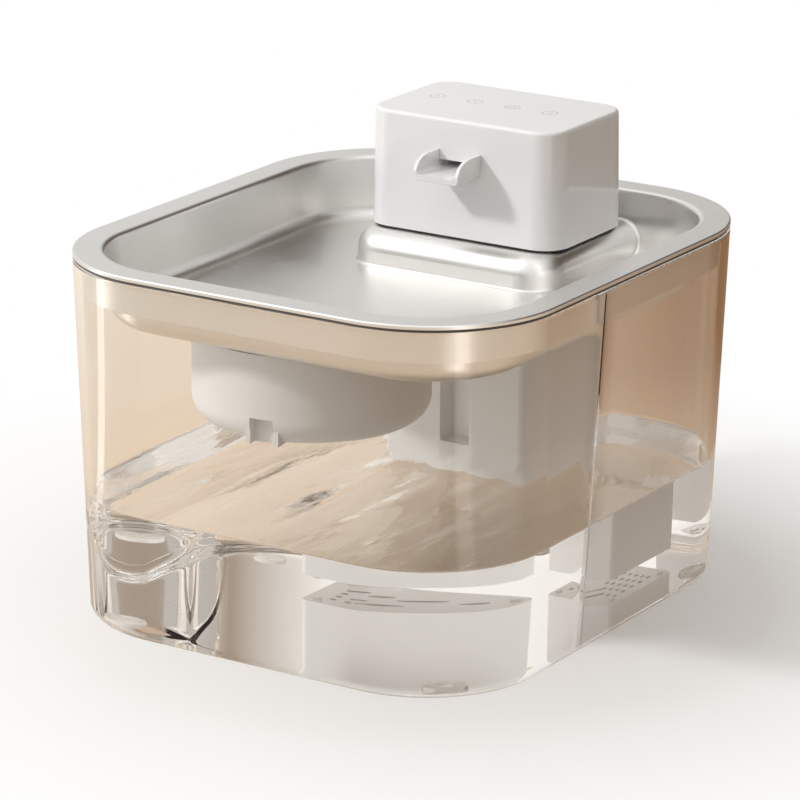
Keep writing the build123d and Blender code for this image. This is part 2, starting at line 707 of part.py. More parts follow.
with BuildPart() as pump_body:
    with BuildSketch(Plane(origin=(column_x, unit_y, pump_bottom))):
        RectangleRounded(pump_width, pump_depth, column_corner)
    extrude(amount=volute_top - pump_bottom)
    with BuildSketch(Plane(origin=(column_x, pump_axis_y, volute_top))):
        Circle(motor_radius)
    extrude(amount=motor_height)
    fillet(pump_body.edges().group_by(Axis.Z)[-1], 2.0)
    with BuildSketch(Plane(origin=(riser_x, riser_y, volute_top))):
        Circle(riser_radius + riser_wall * 0.8)
    extrude(amount=socket_depth)
    # Volute, its outlet channel, the socket for the riser and the rotor's well.
    with BuildSketch(pump_plane):
        Circle(volute_radius)
    extrude(amount=volute_depth, mode=Mode.SUBTRACT)
    with BuildSketch(pump_plane):
        with Locations((riser_x - column_x, -channel_reach / 2)):
            SlotOverall(channel_reach + channel_width, channel_width, rotation=90)
    extrude(amount=volute_depth - blade_thickness, mode=Mode.SUBTRACT)
    with BuildSketch(Plane(origin=(riser_x, riser_y, pump_bottom))):
        Circle(riser_radius - riser_wall)
    extrude(amount=volute_top - pump_bottom, mode=Mode.SUBTRACT)
    with BuildSketch(Plane(origin=(riser_x, riser_y, volute_top - volute_roof))):
        Circle(riser_radius + press_gap)
    extrude(amount=volute_roof + socket_depth, mode=Mode.SUBTRACT)
    with BuildSketch(pump_plane):
        Circle(well_radius)
    extrude(amount=well_top - pump_bottom, mode=Mode.SUBTRACT)
    with BuildSketch(Plane(origin=(column_x, pump_axis_y, well_top))):
        Circle(shaft_radius)
    extrude(amount=cover_thickness, mode=Mode.SUBTRACT)

with BuildPart() as impeller_shaft:
    with BuildSketch(Plane(origin=(column_x, pump_axis_y, cover_bottom))):
        Circle(shaft_radius)
    extrude(amount=well_top + cover_thickness - cover_bottom)

# One blade, curving backwards from the hub to the rim of the impeller's back plate.
blade_start = hub_radius * 0.7
blade_end = impeller_radius - blade_thickness / 2
with BuildSketch() as blade:
    with BuildLine():
        ThreePointArc(
            (blade_start, 0),
            (0.62 * blade_end, 0.22 * blade_end),
            (blade_end * cos(radians(38)), blade_end * sin(radians(38))),
        )
    trace(line_width=blade_thickness)

impeller_plane = Plane(origin=(column_x, pump_axis_y, impeller_bottom))
with BuildPart() as impeller:
    with BuildSketch(impeller_plane.offset(blade_height)):
        Circle(impeller_radius)
    extrude(amount=blade_thickness)
    with BuildSketch(impeller_plane):
        Circle(hub_radius)
    extrude(amount=blade_height)
    with BuildSketch(impeller_plane):
        with PolarLocations(0, blade_count):
            add(blade.sketch)
    extrude(amount=blade_height)
    with BuildSketch(impeller_plane.offset(blade_height)):
        Circle(sleeve_radius)
    extrude(amount=magnet_top - backplate_bottom)
    with BuildSketch(impeller_plane):
        Circle(shaft_radius + press_gap)
    extrude(amount=magnet_top - impeller_bottom, mode=Mode.SUBTRACT)

with BuildPart() as rotor_magnet:
    with BuildSketch(Plane(origin=(column_x, pump_axis_y, magnet_bottom))):
        Circle(magnet_radius)
        Circle(sleeve_radius, mode=Mode.SUBTRACT)
    extrude(amount=magnet_height)

with BuildPart() as pump_dampers:
    damper_width = (column_width - 2 * column_wall - pump_width) / 2
    for side in (-1, 1):
        middle = column_x + side * (pump_width + damper_width) / 2
        with BuildSketch(Plane(origin=(middle, unit_y, pump_bottom))):
            Rectangle(damper_width, pump_width / 3)
        extrude(amount=volute_depth)

with BuildPart() as pump_lead:
    with BuildSketch(Plane(origin=(lead_x, riser_y, volute_top))):
        Circle(lead_radius)
    extrude(amount=board_bottom - volute_top)

# ------------------------------------------------------------------ battery and boards
cell_front_y = cell_back_y - cell_pitch
cell_places = (cell_front_y, cell_back_y)
with BuildPart() as battery_cells:
    for place in cell_places:
        with BuildSketch(Plane(origin=(-cell_length / 2, place, cell_height), z_dir=(1, 0, 0))):
            Circle(cell_radius)
        extrude(amount=cell_length - 1.2)
        with BuildSketch(Plane(origin=(cell_length / 2 - 1.2, place, cell_height), z_dir=(1, 0, 0))):
            Circle(cell_radius * 0.4)
        extrude(amount=1.2)

with BuildPart() as battery_cradle:
    cradle_middle = (cell_front_y + cell_back_y) / 2
    with BuildSketch(Plane(origin=(column_x, cradle_middle, base_top))):
        Rectangle(2 * (column_boss_x - screw_head_radius - slip_gap), cell_pitch + cell_radius * 1.5)
    extrude(amount=cell_radius * 0.7)
    for place in cell_places:
        with BuildSketch(Plane(origin=(-cell_length / 2, place, cell_height), z_dir=(1, 0, 0))):
            Circle(cell_radius + press_gap)
        extrude(amount=cell_length, mode=Mode.SUBTRACT)

board_width = unit_width - 2 * unit_wall - 6.0
board_front = chamber_front + 5.0
board_back = unit_back - unit_wall - unit_inset - 1.0
with BuildPart() as control_board:
    with BuildSketch(Plane.XY.offset(board_bottom)):
        with Locations((0, (board_front + board_back) / 2)):
            Rectangle(board_width, board_back - board_front)
        # Room for the spout's chamber and for the four screw bosses.
        with Locations(((chamber_left + chamber_right) / 2, (board_front + chamber_back) / 2)):
            Rectangle(
                chamber_right - chamber_left + 2.0, chamber_back - board_front + 2.0, mode=Mode.SUBTRACT
            )
        with Locations((0, unit_y)):
            with GridLocations(2 * shell_boss_x, 2 * shell_boss_y, 2, 2):
                Rectangle(2 * boss_radius + 1.0, 4 * boss_radius, mode=Mode.SUBTRACT)
    extrude(amount=board_thickness)
    with BuildSketch(Plane.XY.offset(board_top)):
        for chip_x, chip_y, chip_width, chip_depth in (
            (12.0, cell_back_y - 8.0, 9.0, 9.0),
            (26.0, cell_back_y - 6.0, 6.0, 4.5),
            (-14.0, cell_front_y + 4.0, 7.0, 5.0),
            (-28.0, cell_front_y + 2.0, 5.0, 5.0),
        ):
            with Locations((chip_x, chip_y)):
                Rectangle(chip_width, chip_depth)
    extrude(amount=1.4)

with BuildPart() as touch_board:
    with BuildSketch(Plane.XY.offset(touch_board_top - 1.0)):
        with Locations((touch_pad_x, touch_pad_y)):
            RectangleRounded(3 * touch_pad_pitch + 4 * touch_pad_radius, 5 * touch_pad_radius, 2.0)
    extrude(amount=1.0 - press_gap)
    with BuildSketch(Plane.XY.offset(touch_board_top - 1.0)):
        with Locations((touch_pad_x, touch_pad_y)):
            with GridLocations(touch_pad_pitch, 1, 4, 1):
                Circle(touch_pad_radius)
    extrude(amount=-0.6)

with BuildPart() as touch_link:
    with BuildSketch(Plane.XY.offset(board_top)):
        with Locations((touch_pad_x, touch_pad_y + touch_pad_radius * 2)):
            Rectangle(8.0, 2.4)
    extrude(amount=touch_board_top - 1.0 - board_top)

port_back = unit_back_at_port - flap_thickness - flap_gap - 0.1
with BuildPart() as charge_port:
    port_inner = Plane(origin=(port_x, port_back, port_middle), x_dir=(-1, 0, 0), z_dir=(0, 1, 0))
    with BuildSketch(port_inner):
        RectangleRounded(port_width, port_height, port_height * 0.4)
    extrude(amount=-port_length)
    with BuildSketch(port_inner):
        RectangleRounded(port_width - 0.6, port_height - 0.6, port_height * 0.3)
    extrude(amount=-(port_length - 1.0), mode=Mode.SUBTRACT)
    with BuildSketch(port_inner.offset(-port_length)):
        Rectangle(port_width - 2.4, 0.7)
    extrude(amount=port_length - 1.0)

with BuildPart() as port_flap:
    with BuildSketch(port_plane):
        RectangleRounded(flap_width, flap_height, flap_gap)
    extrude(amount=-flap_thickness)
    # Pull lip along the flap's upper edge.
    with BuildSketch(port_plane):
        with Locations((0, flap_height / 2 - 0.6)):
            Rectangle(flap_width / 2, 1.0)
    extrude(amount=0.5)

# ------------------------------------------------------------------ screws
with BuildPart() as unit_screws:
    with BuildSketch(unit_plane):
        with GridLocations(2 * shell_boss_x, 2 * shell_boss_y, 2, 2):
            Circle(screw_head_radius - press_gap)
    extrude(amount=screw_head_height - press_gap)
    with BuildSketch(unit_plane):
        with GridLocations(2 * shell_boss_x, 2 * shell_boss_y, 2, 2):
            Circle(screw_radius - press_gap)
    extrude(amount=base_thickness * 3)

with BuildPart() as column_screws:
    with BuildSketch(column_seat_plane):
        with GridLocations(2 * column_boss_x, 2 * column_boss_y, 2, 2):
            Circle(screw_head_radius - press_gap)
    extrude(amount=-(screw_head_height - press_gap))
    with BuildSketch(column_seat_plane):
        with GridLocations(2 * column_boss_x, 2 * column_boss_y, 2, 2):
            Circle(screw_radius - press_gap)
    extrude(amount=-(base_thickness + 2 * boss_radius))

# ------------------------------------------------------------------ output
pieces = {
    "tank": tank,
    "tank_feet": tank_feet,
    "drinking_tray": drinking_tray,
    "locating_ring": locating_ring,
    "rim_gasket": rim_gasket,
    "drain_strainer": drain_strainer,
    "drain_seal": drain_seal,
    "drain_nut": drain_nut,
    "filter_collar": filter_collar,
    "filter_box": filter_box,
    "cartridge_shell": cartridge_shell,
    "carbon_bed": carbon_bed,
    "cotton_pad": cotton_pad,
    "unit_shell": unit_shell,
    "unit_base": unit_base,
    "unit_gasket": unit_gasket,
    "unit_screws": unit_screws,
    "spout": spout,
    "touch_board": touch_board,
    "touch_link": touch_link,
    "control_board": control_board,
    "battery_cells": battery_cells,
    "battery_cradle": battery_cradle,
    "charge_port": charge_port,
    "port_flap": port_flap,
    "column_housing": column_housing,
    "column_screws": column_screws,
    "strainer_plate": strainer_plate,
    "prefilter_foam": prefilter_foam,
    "volute_cover": volute_cover,
    "pump_body": pump_body,
    "pump_dampers": pump_dampers,
    "impeller_shaft": impeller_shaft,
    "impeller": impeller,
    "rotor_magnet": rotor_magnet,
    "riser_tube": riser_tube,
    "riser_seal": riser_seal,
    "pump_lead": pump_lead,
}
for name, piece in pieces.items():
    piece.part.label = name
    export_step(piece.part, f"parts/{name}.step")
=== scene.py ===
"""Looks of the pet water fountain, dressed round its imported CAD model.

Metres, +Z up, the spout towards -Y.
"""
import math

import bmesh
import bpy
from mathutils import Matrix, Vector, noise
from mathutils.geometry import tessellate_polygon


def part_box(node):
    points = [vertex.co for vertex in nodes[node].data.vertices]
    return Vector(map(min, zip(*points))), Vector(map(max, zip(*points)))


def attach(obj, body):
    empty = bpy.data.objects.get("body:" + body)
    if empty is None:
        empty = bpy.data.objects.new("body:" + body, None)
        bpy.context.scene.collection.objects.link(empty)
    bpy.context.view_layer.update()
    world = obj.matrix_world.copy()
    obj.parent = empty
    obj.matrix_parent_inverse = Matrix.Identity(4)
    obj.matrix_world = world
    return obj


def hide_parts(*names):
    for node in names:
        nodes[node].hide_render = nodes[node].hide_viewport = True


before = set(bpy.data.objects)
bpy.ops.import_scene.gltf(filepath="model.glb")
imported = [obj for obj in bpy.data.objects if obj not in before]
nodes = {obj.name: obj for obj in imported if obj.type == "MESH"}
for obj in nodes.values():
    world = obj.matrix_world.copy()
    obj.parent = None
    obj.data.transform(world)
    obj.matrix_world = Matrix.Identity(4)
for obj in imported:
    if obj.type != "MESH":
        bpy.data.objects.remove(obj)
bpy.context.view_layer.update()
scene = bpy.context.scene
MM = 0.001

# ------------------------------------------------------------------ sizes
tank_low, tank_high = (Vector(corner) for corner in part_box("tank"))
LIP = tank_high.z
UNDERSIDE = tank_low.z
CORNER = 52.7 * MM  # plan radius of the lip's corners
INSET = 5.1 * MM  # lean of each wall from lip to base
WALL = 3.0 * MM
FLOOR = UNDERSIDE + 3.6 * MM
BASE_ROUND = 5.0 * MM
FLOOR_ROUND = 4.0 * MM
LIP_ROUND = 0.8 * MM
SKELETON_X = tank_high.x - CORNER  # middle of each corner's curve
SKELETON_Y = tank_high.y - CORNER
GROOVE_Y = -28.7 * MM
GROOVE_HALF = 2.3 * MM
GROOVE_DEPTH = 0.3 * MM
GROOVE_FLANK = 0.24  # width of each sloping side, as a share of the groove's half-width
FOOT_X, FOOT_Y = 66.0 * MM, 78.0 * MM
FOOT_HOLE = 7.3 * MM
FOOT_RECESS = 0.8 * MM
WATER = 50.0 * MM
WATER_CLIMB = 0.9 * MM  # meniscus up the wall
WATER_GAP = 0.06 * MM
MENISCUS = 2.4 * MM  # width of the climb at the water's edge
RIPPLE = 1.0 * MM
RIPPLE_END_X, RIPPLE_END_Y = 88.0 * MM, 100.0 * MM  # the ripples have died away here
RIPPLE_FADE = 20.0 * MM
SWELLS = ((80, 15, 0.3, 1.0), (170, 34, 7.3, 0.4))  # frequency across and along, offset, share of the height

ICON_X = [x * MM for x in (-28.4, -11.4, 5.6, 22.6)]
ICON_Y = 68.0 * MM
ICON_RADIUS = 3.0 * MM
ICON_GREY = (0.42, 0.42, 0.43)
ICON_INK = 0.75  # how far the print turns the plastic grey


# ------------------------------------------------------------------ node helpers
class Nodes:
    """Short ways to add nodes to one node tree. coords is the place or way that its patterns follow."""

    def __init__(self, tree, coords):
        self.tree = tree
        self.coords = tree.nodes.new("ShaderNodeTexCoord").outputs[coords]

    def node(self, kind, **attributes):
        made = self.tree.nodes.new(kind)
        for key, value in attributes.items():
            setattr(made, key, value)
        return made

    def link(self, output, socket):
        self.tree.links.new(output, socket)

    def math(self, operation, *values):
        made = self.node("ShaderNodeMath", operation=operation)
        for socket, value in zip(made.inputs, values):
            if isinstance(value, (int, float)):
                socket.default_value = value
            else:
                self.link(value, socket)
        return made.outputs["Value"]

    def noise(self, scale, detail=3.0, stretch=(1, 1, 1)):
        mapping = self.node("ShaderNodeMapping")
        mapping.inputs["Scale"].default_value = stretch
        self.link(self.coords, mapping.inputs["Vector"])
        texture = self.node("ShaderNodeTexNoise")
        texture.inputs["Scale"].default_value = scale
        texture.inputs["Detail"].default_value = detail
        self.link(mapping.outputs["Vector"], texture.inputs["Vector"])
        return texture.outputs["Fac"]

    def between(self, value, low, high, start=0.3, end=0.7):
        made = self.node("ShaderNodeMapRange")
        made.inputs["From Min"].default_value = start
        made.inputs["From Max"].default_value = end
        made.inputs["To Min"].default_value = low
        made.inputs["To Max"].default_value = high
        self.link(value, made.inputs["Value"])
        return made.outputs["Result"]

    def share(self, value, start, end):
        """0 up to start, 1 from end, and straight between them."""
        return self.between(value, 0.0, 1.0, start, end)

    def colours(self, value, *stops):
        ramp = self.node("ShaderNodeValToRGB")
        while len(ramp.color_ramp.elements) < len(stops):
            ramp.color_ramp.elements.new(0.5)
        for element, (place, colour) in zip(ramp.color_ramp.elements, stops):
            element.position = place
            element.color = (*colour, 1)
        self.link(value, ramp.inputs["Fac"])
        return ramp.outputs["Color"]

    def tinted(self, share, base, colour):
        """base, turned towards one colour by share."""
        made = self.node("ShaderNodeMix", data_type="RGBA")
        self.link(share, made.inputs["Factor"])
        self.link(base, made.inputs["A"])
        made.inputs["B"].default_value = (*colour, 1)
        return made.outputs["Result"]

    def dot(self, vector, way):
        made = self.node("ShaderNodeVectorMath", operation="DOT_PRODUCT")
        self.link(vector, made.inputs[0])
        made.inputs[1].default_value = way
        return made.outputs["Value"]

    def mixed(self, share, below, above):
        """The shader below where share is 0, and the one above where it is 1."""
        made = self.node("ShaderNodeMixShader")
        self.link(share, made.inputs["Fac"])
        self.link(below, made.inputs[1])
        self.link(above, made.inputs[2])
        return made.outputs["Shader"]


class Mat(Nodes):
    """A node material being put together round one Principled shader."""

    def __init__(self, name, **values):
        self.mat = bpy.data.materials.new(name)
        self.mat.use_nodes = True
        super().__init__(self.mat.node_tree, "Object")
        self.bsdf = self.tree.nodes["Principled BSDF"]
        for key, value in values.items():
            self.bsdf.inputs[key.replace("_", " ")].default_value = value

    def bump(self, height, strength, distance):
        made = self.node("ShaderNodeBump")
        made.inputs["Strength"].default_value = strength
        made.inputs["Distance"].default_value = distance
        self.link(height, made.inputs["Height"])
        normal = self.bsdf.inputs["Normal"]
        if normal.is_linked:
            self.link(normal.links[0].from_socket, made.inputs["Normal"])
        self.link(made.outputs["Normal"], normal)

    def into(self, socket, output):
        self.link(output, self.bsdf.inputs[socket])


# ------------------------------------------------------------------ finishes
def plastic(name, light, dark, rough, **values):
    """Moulded plastic: faint drift of colour, uneven polish and a slight waviness."""
    m = Mat(name, IOR=1.49, **values)
    m.into("Base Color", m.colours(m.noise(14, 4), (0.3, dark), (0.7, light)))
    m.into("Roughness", m.between(m.noise(90, 5), rough - 0.04, rough + 0.04))
    m.bump(m.noise(22, 2), 0.08, 0.4 * MM)
    return m


def touch_marks(m, base):
    """Four grey marks printed on the unit's top: rings round a bar, a dot, a smaller ring and two bars."""
    split = m.node("ShaderNodeSeparateXYZ")
    m.link(m.coords, split.inputs["Vector"])
    across, along = split.outputs["X"], m.math("SUBTRACT", split.outputs["Y"], ICON_Y)
    line, soft = 0.28 * MM, 0.12 * MM

    def inside(distance, limit):
        """1 where distance is under limit, with a soft edge."""
        return m.between(distance, 1.0, 0.0, limit - soft, limit + soft)

    def ring(distance, radius):
        return inside(m.math("ABSOLUTE", m.math("SUBTRACT", distance, radius)), line)

    def bar(x, middle, half_length):
        sideways = inside(m.math("ABSOLUTE", m.math("SUBTRACT", x, middle)), line)
        lengthways = inside(m.math("ABSOLUTE", along), half_length)
        return m.math("MULTIPLY", sideways, lengthways)

    marks = None
    for number, middle in enumerate(ICON_X):
        x = m.math("SUBTRACT", across, middle)
        distance = m.math("SQRT", m.math("ADD", m.math("POWER", x, 2.0), m.math("POWER", along, 2.0)))
        inner = (
            lambda: bar(x, 0.0, 1.2 * MM),
            lambda: inside(distance, 0.8 * MM),
            lambda: ring(distance, 1.3 * MM),
            lambda: m.math("ADD", bar(x, -0.7 * MM, 1.1 * MM), bar(x, 0.7 * MM, 1.1 * MM)),
        )[number]()
        mark = m.math("MAXIMUM", ring(distance, ICON_RADIUS), inner)
        marks = mark if marks is None else m.math("MAXIMUM", marks, mark)
    m.into("Base Color", m.tinted(m.math("MULTIPLY", marks, ICON_INK), base, ICON_GREY))


def glossy_white(name):
    light, dark = (0.86, 0.86, 0.865), (0.835, 0.835, 0.84)
    return plastic(name, light, dark, 0.22, Coat_Weight=0.6, Coat_Roughness=0.05)


def marked_shell():
    m = glossy_white("gloss_white")
    touch_marks(m, m.bsdf.inputs["Base Color"].links[0].from_socket)
    return m.mat


def satin_steel():
    """Pressed stainless sheet: satin, with a faint cloudiness left by rolling and polishing."""
    m = Mat("satin_steel", Metallic=1.0)
    dark, light = (0.775, 0.765, 0.745), (0.825, 0.815, 0.80)
    m.into("Base Color", m.colours(m.noise(9, 5), (0.25, dark), (0.75, light)))
    m.into("Roughness", m.between(m.noise(60, 6), 0.29, 0.37))
    m.bump(m.noise(14, 2), 0.08, 0.5 * MM)
    return m.mat


CLEAR_TINT = (0.985, 0.968, 0.945, 1)
CLEAR_IOR = 1.42  # plastic and water bend light alike, so their shared face needs no bend of its own


def clear_plastic():
    m = Mat("clear_plastic", Transmission_Weight=1.0, IOR=CLEAR_IOR, Base_Color=CLEAR_TINT)
    m.into("Roughness", m.between(m.noise(18, 3), 0.0, 0.02))
    m.bump(m.noise(11, 1), 0.04, 0.5 * MM)
    return m.mat


def water_top():
    m = Mat("water_top", Transmission_Weight=1.0, IOR=CLEAR_IOR, Base_Color=(0.99, 0.985, 0.975, 1))
    m.into("Roughness", m.between(m.noise(30, 2), 0.0, 0.01))
    m.bump(m.noise(170, 3, (1.0, 0.22, 1.0)), 0.6, 0.5 * MM)
    return m.mat


def wet_face(name):
    """Unseen face where water or a foot lies against the plastic: light passes through it unbent."""
    m = Mat(name, Alpha=0.0)
    m.into("Base Color", m.colours(m.noise(8, 2), (0.3, (0.97, 0.98, 0.98)), (0.7, (1.0, 1.0, 1.0))))
    return m.mat


def rubber(name, light, dark, rough=0.55):
    m = Mat(name)
    m.into("Base Color", m.colours(m.noise(40, 4), (0.3, dark), (0.7, light)))
    m.into("Roughness", m.between(m.noise(120, 3), rough - 0.08, rough + 0.08))
    return m.mat


def clear_rubber():
    m = Mat("clear_silicone", Transmission_Weight=0.35, IOR=1.41)
    m.into("Base Color", m.colours(m.noise(40, 4), (0.3, (0.84, 0.83, 0.81)), (0.7, (0.89, 0.88, 0.86))))
    m.into("Roughness", m.between(m.noise(90, 3), 0.36, 0.46))
    return m.mat


def metal(name, tint, rough):
    m = Mat(name, Metallic=1.0)
    m.into("Base Color", m.colours(m.noise(60, 4), (0.3, tuple(0.9 * c for c in tint)), (0.7, tint)))
    m.into("Roughness", m.between(m.noise(200, 3), rough - 0.06, rough + 0.06))
    return m.mat


def grains(name, light, dark, scale, height, rough):
    """A surface of packed grains or pores."""
    m = Mat(name)
    texture = m.node("ShaderNodeTexVoronoi")
    texture.inputs["Scale"].default_value = scale
    m.link(m.coords, texture.inputs["Vector"])
    m.into("Base Color", m.colours(texture.outputs["Distance"], (0.05, dark), (0.5, light)))
    m.into("Roughness", m.between(m.noise(300, 3), rough - 0.1, rough + 0.1))
    m.bump(texture.outputs["Distance"], 0.8, height)
    return m.mat


def circuit_board():
    m = Mat("circuit_board")
    brick = m.node("ShaderNodeTexBrick")
    brick.inputs["Scale"].default_value = 260
    brick.inputs["Color1"].default_value = (0.020, 0.145, 0.062, 1)
    brick.inputs["Color2"].default_value = (0.026, 0.165, 0.075, 1)
    brick.inputs["Mortar"].default_value = (0.06, 0.27, 0.13, 1)
    brick.inputs["Mortar Size"].default_value = 0.012
    m.link(m.coords, brick.inputs["Vector"])
    m.into("Base Color", brick.outputs["Color"])
    m.into("Roughness", m.between(m.noise(90, 3), 0.3, 0.42))
    return m.mat


steel = satin_steel()
shell_white = marked_shell()
spout_white = glossy_white("spout_white").mat
satin_white = plastic("satin_white", (0.83, 0.82, 0.805), (0.80, 0.79, 0.775), 0.38).mat
grey = plastic("grey_plastic", (0.36, 0.365, 0.37), (0.31, 0.315, 0.32), 0.45).mat
pump_black = plastic("pump_black", (0.035, 0.035, 0.037), (0.022, 0.022, 0.024), 0.42).mat
cell_wrap = plastic("cell_wrap", (0.05, 0.13, 0.30), (0.04, 0.105, 0.26), 0.28).mat
tube_plastic = plastic("tube_plastic", (0.74, 0.75, 0.76), (0.70, 0.71, 0.72), 0.2).mat
dark_gasket = rubber("dark_gasket", (0.115, 0.105, 0.095), (0.085, 0.08, 0.072))
pale_lead = rubber("pale_lead", (0.72, 0.72, 0.72), (0.62, 0.62, 0.62))
silicone = clear_rubber()
screw_steel = metal("screw_steel", (0.60, 0.60, 0.60), 0.3)
ferrite = metal("ferrite", (0.10, 0.10, 0.105), 0.55)
board = circuit_board()
foam = grains("open_foam", (0.05, 0.055, 0.062), (0.008, 0.008, 0.01), 900, 0.6 * MM, 0.85)
carbon = grains("carbon_granules", (0.035, 0.035, 0.037), (0.005, 0.005, 0.005), 620, 0.8 * MM, 0.6)
cotton = grains("cotton_felt", (0.86, 0.855, 0.84), (0.72, 0.715, 0.70), 1500, 0.4 * MM, 0.9)

finish_of = {
    "tank_feet": silicone, "drinking_tray": steel, "locating_ring": steel, "rim_gasket": dark_gasket,
    "drain_strainer": satin_white, "drain_seal": silicone, "drain_nut": satin_white,
    "filter_collar": satin_white, "filter_box": satin_white, "cartridge_shell": satin_white,
    "carbon_bed": carbon, "cotton_pad": cotton, "unit_shell": shell_white, "unit_base": satin_white,
    "unit_gasket": dark_gasket, "unit_screws": screw_steel, "spout": spout_white, "touch_board": board,
    "touch_link": pale_lead, "control_board": board, "battery_cells": cell_wrap, "battery_cradle": grey,
    "charge_port": screw_steel, "port_flap": silicone, "column_housing": satin_white,
    "column_screws": screw_steel, "strainer_plate": satin_white, "prefilter_foam": foam,
    "volute_cover": grey, "pump_body": pump_black, "pump_dampers": silicone, "impeller_shaft": screw_steel,
    "impeller": satin_white, "rotor_magnet": ferrite, "riser_tube": tube_plastic, "riser_seal": dark_gasket,
    "pump_lead": pale_lead,
}
for name, finish in finish_of.items():
    nodes[name].data.materials.clear()
    nodes[name].data.materials.append(finish)


# ------------------------------------------------------------------ tank and water
LEAN = math.atan(INSET / (LIP - UNDERSIDE))
CORNER_STEPS = 18
ROUNDING_STEPS = 10
LIP_STEPS = 5
FOOT_STEPS = 40
MENISCUS_STEPS = 8
WATER_SIDE_STEPS = 36
WATER_RINGS = 40
SIDE_PLACES = (0.01, 0.2, 0.4, 0.6, 0.8, 0.99)
GROOVE_PLACES = (-1, -0.94, -0.88, -0.82, -0.76, -0.4, 0, 0.4, 0.76, 0.82, 0.88, 0.94, 1)


def tank_reach(z):
    """Distance from the corners' skeleton to the tank's outer face at height z."""
    return CORNER - INSET * (LIP - z) / (LIP - UNDERSIDE)


def ripple(point):
    """Height of the water's long low ripples, which run from front to back and die away at the wall."""
    near_x = (RIPPLE_END_X - abs(point.x)) / RIPPLE_FADE
    near_y = (RIPPLE_END_Y - abs(point.y)) / RIPPLE_FADE
    swell = 0.0
    for across, along, offset, share in SWELLS:
        swell += share * noise.noise(Vector((point.x * across, point.y * along, offset)))
    return RIPPLE * max(0.0, min(1.0, near_x, near_y)) * swell


def tank_path(sides=SIDE_PLACES):
    """Stations anticlockwise round the tank: point of the skeleton, way out, and place across the groove.

    The place is None away from the groove.
    """
    turns = ((1, 1), (-1, 1), (-1, -1), (1, -1))
    centres = [Vector((sx * SKELETON_X, sy * SKELETON_Y, 0)) for sx, sy in turns]
    path = []
    for k, centre in enumerate(centres):
        for i in range(CORNER_STEPS + 1):
            angle = math.pi / 2 * (k + i / CORNER_STEPS)
            path.append((centre, Vector((math.cos(angle), math.sin(angle), 0)), None))
        out, after = path[-1][1], centres[(k + 1) % 4]
        places = [(centre.lerp(after, share), out, None) for share in sides]
        if k == 3:  # the right-hand side, with the groove between two of its stations
            middle = Vector((SKELETON_X, GROOVE_Y, 0))
            groove = [(middle + Vector((0, place * GROOVE_HALF, 0)), out, place) for place in GROOVE_PLACES]
            front = [p for p in places if p[0].y < GROOVE_Y - 2 * GROOVE_HALF]
            rear = [p for p in places if p[0].y > GROOVE_Y + 4 * GROOVE_HALF]  # room for its lean
            places = front + groove + rear
        path += places
    return path


def tank_row(reach, z, grooved=False, sides=SIDE_PLACES):
    """A level loop of the tank at a reach from the skeleton. The groove goes back as it goes up."""
    row = []
    for base, out, across in tank_path(sides):
        point = base + out * reach + Vector((0, 0, z))
        if across is not None:
            point.y += math.tan(LEAN) * (z - FLOOR)
            if grooved:
                share = min(1.0, (1 - abs(across)) / GROOVE_FLANK)
                point.x -= GROOVE_DEPTH * (1 - math.cos(math.pi * share)) / 2
        row.append(point)
    return row


def arc(reach, z, radius, start, end, steps):
    """Points (reach, height) on an arc about a middle, from one angle to another."""
    angles = [start + (end - start) * i / steps for i in range(steps + 1)]
    return [(reach + radius * math.cos(a), z + radius * math.sin(a)) for a in angles]


def skin(name, rows, body, materials, paint, first_cap=None):
    """A closed mesh through rows of equal count. paint gives each band's material; caps stay flat."""
    bm = bmesh.new()
    loops = [[bm.verts.new(p) for p in row] for row in rows]
    count = len(loops[0])
    for number, (low, high) in enumerate(zip(loops, loops[1:])):
        for i in range(count):
            face = bm.faces.new((low[i], low[(i + 1) % count], high[(i + 1) % count], high[i]))
            face.smooth = True
            face.material_index = paint(number)
    if first_cap:
        first_cap(bm, loops[0])
    else:
        bm.faces.new(list(reversed(loops[0]))).material_index = paint(0)
    bm.faces.new(loops[-1]).material_index = paint(len(loops) - 2)
    bmesh.ops.recalc_face_normals(bm, faces=bm.faces)
    mesh = bpy.data.meshes.new(name)
    bm.to_mesh(mesh)
    bm.free()
    for material in materials:
        mesh.materials.append(material)
    obj = bpy.data.objects.new(name, mesh)
    scene.collection.objects.link(obj)
    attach(obj, body)
    return obj


def underside_with_recesses(bm, edge):
    """The tank's flat underside, with a shallow round recess for each foot."""
    rims = []
    for sx, sy in ((1, 1), (-1, 1), (-1, -1), (1, -1)):
        middle = Vector((sx * FOOT_X, sy * FOOT_Y, UNDERSIDE))
        turn = [2 * math.pi * i / FOOT_STEPS for i in range(FOOT_STEPS)]
        rims.append([bm.verts.new(middle + FOOT_HOLE * Vector((math.cos(a), math.sin(a), 0))) for a in turn])
    flat = edge + [v for rim in rims for v in rim]
    for triangle in tessellate_polygon([[v.co for v in edge]] + [[v.co for v in rim] for rim in rims]):
        bm.faces.new([flat[i] for i in triangle])
    for rim in rims:
        roof = [bm.verts.new(v.co + Vector((0, 0, FOOT_RECESS))) for v in rim]
        for i in range(FOOT_STEPS):
            after = (i + 1) % FOOT_STEPS
            bm.faces.new((rim[i], rim[after], roof[after], roof[i])).material_index = 1
        bm.faces.new(roof).material_index = 1  # each foot fills its recess, so this face bends no light


